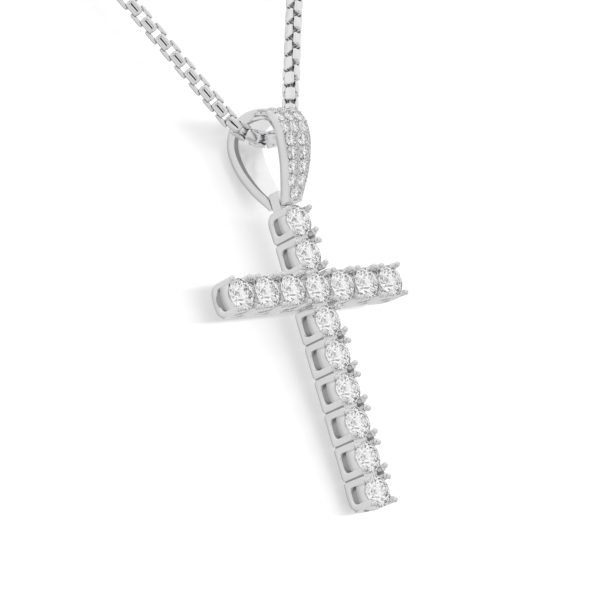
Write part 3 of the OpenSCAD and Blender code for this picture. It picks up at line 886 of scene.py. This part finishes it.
outer_line = smooth_line([(BAIL_BACK + a * BAIL_DEPTH / 2, FOOT_Z + b * BAIL_H)
                          for a, b in BAIL_OUTLINE], CURVE_STEPS)
along = np.gradient(outer_line, axis=0)
outward = np.stack([-along[:, 1], along[:, 0]], 1) / np.linalg.norm(along, axis=1)[:, None]
slot_front = LOOP_Y - LOOP_THICK / 2 - SLOT_GAP
slot_back = LOOP_Y + LOOP_THICK / 2 + SLOT_GAP
slot_top = LOOP_Z + LOOP_TOP + SLOT_GAP
inner = outer_line - BAIL_WALL * outward
half_way = len(inner) // 2
keep = [(z > slot_top) | ((y < slot_front) if i < half_way else (y > slot_back))
        for i, (y, z) in enumerate(inner)]
front_leg = inner[:half_way][np.array(keep[:half_way])]
back_leg = inner[half_way:][np.array(keep[half_way:])]
inner_line = np.vstack([
    [(slot_front, FOOT_Z), (slot_front, front_leg[0, 1] - SLOT_DROP)], front_leg, back_leg,
    [(slot_back, back_leg[-1, 1] - SLOT_DROP), (slot_back, FOOT_Z)]])
print("outline points:", len(outer_line), "inner:", len(inner_line))

# %% [markdown]
# A rim runs along each side of the band, and the field between the rims is sunk where the stones
# lie. Inside, a strip along the left edge is painted dark as shade, widest at the top of the bail.

# %% The band
RIM, EDGE, EDGE_CUT = 0.13, 0.11, 0.3
FIELD_DEPTH, FIELD_FROM, FIELD_TO = 0.07, 0.016, 0.4
SHADE_STRIP_LEAST, SHADE_STRIP_MORE = 0.02, 0.42
BAR_R, BAR_FRONT, BAR_BACK = 0.35, 0.45, 0.2
flare_line = smooth_line(BAIL_FLARE, CURVE_STEPS)


def half_width(z):
    """Half the band's width at a height."""
    share = np.interp((z - FOOT_Z) / BAIL_H, flare_line[:, 0], flare_line[:, 1])
    return BAIL_FOOT_W / 2 + share * (BAIL_TOP_W - BAIL_FOOT_W) / 2


def shade_strip(wide):
    """How wide the strip of painted shade along the band's inner edge is, where the band is this
    wide.
    """
    return SHADE_STRIP_LEAST + SHADE_STRIP_MORE * (wide - BAIL_FOOT_W / 2) / (BAIL_TOP_W / 2 - BAIL_FOOT_W / 2)


shares = np.linspace(0, 1, STATIONS)
outer_at, inner_at = evenly(outer_line, shares), evenly(inner_line, shares)
field = FIELD_DEPTH * np.clip(
    np.minimum((shares - FIELD_FROM) / 0.01, (FIELD_TO - shares) / 0.02), 0, 1)


def band_section(i):
    """One section of the band, from corners of its half: (place across, depth in the wall)."""
    w_out, w_in = half_width(outer_at[i, 1]), half_width(inner_at[i, 1])
    wall = np.linalg.norm(inner_at[i] - outer_at[i])
    f, e, k = field[i] / wall, EDGE / wall, EDGE_CUT
    rows = [(0.0, f), (0.5 * (w_out - RIM), f), (w_out - RIM - 0.03, f), (w_out - RIM, 0),
            (w_out - EDGE * 0.9, 0), (w_out - k * EDGE, k * e), (w_out, e),
            (w_out * 0.5 + w_in * 0.5, 0.5), (w_in, 1 - e), (w_in - k * EDGE, 1 - k * e),
            (w_in - EDGE, 1), (w_in - EDGE - shade_strip(w_in), 1), (0.5 * w_in, 1), (0.0, 1)]
    half = [(x, *(outer_at[i] + (inner_at[i] - outer_at[i]) * d)) for x, d in rows]
    return np.array(half + [(-x, y, z) for x, y, z in half[-2:0:-1]])


band_part = rows_to_part([band_section(i) for i in range(STATIONS)])
bar_part = rows_to_part([ring_at(0, y, LOOP_Z, BAR_R, 28)
                         for y in (slot_front - BAR_FRONT, slot_back + BAR_BACK)])
print("points in the band and its bar:", len(band_part[0]), len(bar_part[0]))

# %% [markdown]
# The model's small stones stand square to the band. A cone is cut out of the band under each one,
# and little beads of metal are pushed over the stones' edges from the band itself.

# %% Seats and beads
# (share of the outline's length, stones side by side, diameter)
SMALL_ROWS = ((0.03, 1, 1.15), (0.08, 2, 1.0), (0.133, 2, 1.14), (0.186, 2, 1.18), (0.239, 2, 1.22),
              (0.288, 3, 1.02), (0.333, 3, 1.0), (0.378, 3, 1.04))
SMALL_GAP = 0.16
# by how many stones lie side by side: how much wider they stand, and how much larger they are
SMALL_SPREAD = {1: 1.0, 2: 1.08, 3: 1.0}
SMALL_GROW = {1: 1.2, 2: 1.2, 3: 1.13}
BEAD_R, BEAD_SUNK, BEADS_APART = 0.12, 0.01, 0.2


def on_band(share, x, lift):
    """A place over the band's outside, and the direction out of it."""
    place = evenly(outer_line, np.array([share - 0.004, share, share + 0.004]))
    d = unit(place[2] - place[0])
    out = np.array([0, -d[1], d[0]])
    return np.array([x, *place[1]]) + out * lift, out


def seat_cutter(place, out, size, grow):
    """The cone that is cut out of the band under a stone."""
    a = full_turn(24)
    ring = np.cos(a)[:, None] * np.array([1, 0, 0]) + np.sin(a)[:, None] * np.cross(out, [1, 0, 0])
    half = grow * size / 2
    rows = ((0.3, half), (-0.08, half), (-half - 0.1, 0.08 * size))
    return rows_to_part([place + out * lift + radius * ring for lift, radius in rows])


def add_beads(share, x, size, spread):
    """Beads at a stone's four corners, unless one is there already or the rim is."""
    for sx in (-1, 1):
        for sa in (-1, 1):
            bead_x = x + sx * (size + SMALL_GAP) / 2 * spread
            spot, _ = on_band(share + sa * 0.47 * size / outline_length, bead_x, -BEAD_SUNK)
            if abs(bead_x) < half_width(spot[2]) - RIM * 0.5 and all(
                    np.linalg.norm(spot - other) > BEADS_APART for other in bead_places):
                bead_places.append(spot)


cutters, bead_places, small_seats = [], [], []
outline_length = float(lengths_along(outer_line)[-1])
for share, count, size in SMALL_ROWS:
    spread, grow = SMALL_SPREAD[count], SMALL_GROW[count]
    for k in range(count):
        x = (k - (count - 1) / 2) * (size + SMALL_GAP) * spread
        place, out = on_band(share, x, 0.0)
        small_seats.append((np.array([x * (1 - 1 / spread), 0, 0]), out, grow))
        cutters.append(seat_cutter(place, out, size, grow))
        add_beads(share, x, size, spread)
bead_parts = [ball(*spot, BEAD_R, 8, 12) for spot in bead_places]
print("seats:", len(cutters), "beads:", len(bead_parts))

# %% [markdown]
# The band's three finishes are given to its faces before the seats are cut: polished outside, satin
# inside with a faint painted glow, and dark metal as painted shade in the strip.

# %% The bail as two pieces
INNER_WITHIN = 0.15
band = joined_metal("bail_metal", [band_part], bail_metal, "hanger")
band.data.materials.append(satin_metal)
band.data.materials.append(painted_shade_metal)
SATIN_INDEX, SHADE_INDEX = 1, 2
for face in band.data.polygons:
    x, y, z = (np.array(face.center) - np.array(CROSS)) / MM
    reach = np.linalg.norm(inner_line - (y, z), axis=1).min()
    if reach < INNER_WITHIN and abs(face.normal.x) < 0.5:
        # faces in the strip along the left inner edge get the dark metal: painted shade
        from_left, strip = half_width(z) + x, EDGE + shade_strip(half_width(z))
        face.material_index = SHADE_INDEX if from_left < strip else SATIN_INDEX
cutter = joined_metal("cutter", cutters, bail_metal, "hanger")
cut = band.modifiers.new("seats", "BOOLEAN")
cut.operation, cut.solver, cut.object, cut.use_self = "DIFFERENCE", "EXACT", cutter, True
apply_modifiers(band)
bpy.data.objects.remove(cutter)
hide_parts("bail")
joined_metal("bail_beads", bead_parts + [bar_part], bail_metal, "hanger")
print("band triangles:", sum(len(p.vertices) - 2 for p in band.data.polygons))

# %% [markdown]
# The photographed stones touch, so they are shown a little larger than the model's.

# %% The small stones, shown a little larger
SMALL_SINK = 0.075
small_names = ["bail_stone_%d" % (k + 1) for k in range(len(small_seats))]
small_points, small_faces, at = [], [], 0
for name, (aside, out, grow) in zip(small_names, small_seats):
    stone = nodes[name]
    spots = np.array([stone.matrix_world @ v.co for v in stone.data.vertices])
    middle = (spots.min(0) + spots.max(0)) / 2
    small_points.append(middle + (spots - middle) * grow + (aside - out * SMALL_SINK) * MM)
    small_faces += [tuple(v + at for v in p.vertices) for p in stone.data.polygons]
    at += len(spots)
bail_stones = mesh_object("bail_stones", np.concatenate(small_points), small_faces,
                          small_crystal, smooth=False)
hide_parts(*small_names)
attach(bail_stones, "hanger")
print("small stones:", len(small_names))

# %% [markdown]
# ## The studio
# White ground, white light from above and both sides, and a few grey cards. A polished metal shows
# nothing but its surroundings, so the cards' places decide how it reads. They are soft round
# patches in the world's shader, each at a compass angle and a height.

# %% Light all round
GROUND_WHITE = 1.04
BASE = 0.72
# azimuth from the front towards +X, elevation, radius, softness (all degrees), brightness
PATCHES = (
    (85, 35, 48, 14, 0.86),
    (-85, 60, 40, 20, 0.85),
    (-10, 10, 30, 14, 0.78),
    (26, -6, 15, 8, 0.35),
    (50, 3, 14, 10, 0.6),
    (0, -90, 38, 16, 0.4),
    (180, 0, 32, 14, 0.4),
    (-46, -10, 20, 12, 0.6),
    (-46, -10, 6, 3, 0.05),
)
FOR_CRYSTAL = 1.4

world = bpy.data.worlds.new("studio")
bpy.context.scene.world = world
world.use_nodes = True
world.node_tree.nodes.clear()
t = Tree(world.node_tree)
towards = t.vector("NORMALIZE", t.add("ShaderNodeTexCoord").outputs["Generated"]).outputs[0]
level = BASE
for azimuth, elevation, radius, soft, brightness in PATCHES:
    a, e = math.radians(azimuth), math.radians(elevation)
    centre = (math.sin(a) * math.cos(e), -math.cos(a) * math.cos(e), math.sin(e))
    angle = t.math("ARCCOSINE", t.vector("DOT_PRODUCT", towards, centre).outputs["Value"])
    inside = t.smooth(angle, math.radians(radius + soft), math.radians(radius - soft))
    level = t.add("ShaderNodeMix", {"Factor": inside, "A": level, "B": brightness}).outputs[0]
path = t.add("ShaderNodeLightPath").outputs
for_crystal = t.math("MULTIPLY_ADD", path["Is Transmission Ray"], FOR_CRYSTAL - 1, 1.0)
level = t.math("MULTIPLY", level, for_crystal)
level = t.add("ShaderNodeMix", {"Factor": path["Is Camera Ray"], "A": level,
                                "B": GROUND_WHITE}).outputs[0]
sky = t.add("ShaderNodeBackground", {"Color": (1, 1, 1, 1), "Strength": level})
t.add("ShaderNodeOutputWorld", {"Surface": sky.outputs[0]})
print("light patches:", len(PATCHES))

# %% [markdown]
# A white card stands close behind the pendant and takes its shadow, and a white floor lies below.
# The card rides with the bail, and its paper only shows while its front faces forward: seen from
# behind, or swung with the bail, it lets the eye through. Both stay out of the metal's reflections.

# %% Card and floor
# how straight ahead the card's paper faces where it shows, as a cosine
SHOWN_ABOVE = 0.98
CARD_FACES = (0, -0.998, 0.057)
CARD_HALF = 45 * MM
CARD_LOW, CARD_HIGH = (2.85, -38), (7.6, 45)
FLOOR_Z, FLOOR_R = -0.2, 0.9


def white_paper(name, shade, glow, faces=None):
    """White paper with a faint fibre, which can be made to show only while it faces one way."""
    made, t = new_material(name)
    fibre = t.add("ShaderNodeTexNoise", {"Scale": 900.0})
    tone = t.smooth(fibre.outputs[0], 0.0, 1.0, shade, shade + 0.02)
    paper = t.add("ShaderNodeBsdfPrincipled", {"Base Color": t.add("ShaderNodeCombineColor", {
        0: tone, 1: tone, 2: tone}).outputs[0], "Roughness": 1.0, "Specular IOR Level": 0.0,
        "Emission Color": (1, 1, 1, 1), "Emission Strength": glow})
    surface = paper.outputs[0]
    if faces is not None:
        normal = t.add("ShaderNodeNewGeometry").outputs["Normal"]
        facing = t.vector("DOT_PRODUCT", normal, faces).outputs["Value"]
        turned = t.math("LESS_THAN", facing, SHOWN_ABOVE)
        clear = t.add("ShaderNodeBsdfTransparent")
        shown = t.add("ShaderNodeMixShader", {0: turned, 1: surface, 2: clear.outputs[0]})
        surface = shown.outputs[0]
    t.add("ShaderNodeOutputMaterial", {"Surface": surface})
    return made


def stage_piece(name, points, material):
    """One flat piece of the stage, which nothing but the camera sees."""
    made = mesh_object(name, points, [list(range(len(points)))], material, smooth=False)
    made.visible_glossy = made.visible_transmission = made.visible_diffuse = False
    made.visible_shadow = False
    return made


low, high = at_cross(0, *CARD_LOW), at_cross(0, *CARD_HIGH)
card = stage_piece("card", [(-CARD_HALF, low.y, low.z), (CARD_HALF, low.y, low.z),
                            (CARD_HALF, high.y, high.z), (-CARD_HALF, high.y, high.z)],
                   white_paper("white card", 0.74, 0.27, CARD_FACES))
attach(card, "hanger")
stage_piece("floor", [(FLOOR_R * math.cos(a), FLOOR_R * math.sin(a), FLOOR_Z)
                      for a in full_turn(64)], white_paper("white floor", 0.9, 0.35))
print("the card reaches from", round(low.z, 4), "to", round(high.z, 4))

# %% [markdown]
# One long, thin lamp stands in front and a little below the cross. Seen from the camera, which
# stands to the left, it throws soft shadows to the left on the card.

# %% A long soft lamp
LAMP_AT = Vector((0.0, -0.5, -0.215))
LAMP_LONG, LAMP_HIGH, LAMP_WATTS = 0.95, 0.05, 1.5
lamp = bpy.data.objects.new("long lamp", bpy.data.lights.new("long lamp", "AREA"))
bpy.context.scene.collection.objects.link(lamp)
lamp.data.shape = "RECTANGLE"
lamp.data.size, lamp.data.size_y = LAMP_LONG, LAMP_HIGH
lamp.data.energy = LAMP_WATTS
lamp.visible_glossy = lamp.visible_transmission = False
lamp.location = LAMP_AT
lamp.rotation_mode = "QUATERNION"
lamp.rotation_quaternion = (CROSS - LAMP_AT).to_track_quat("-Z", "Y")
print("lamp", round((CROSS - LAMP_AT).length, 3), "m from the cross")
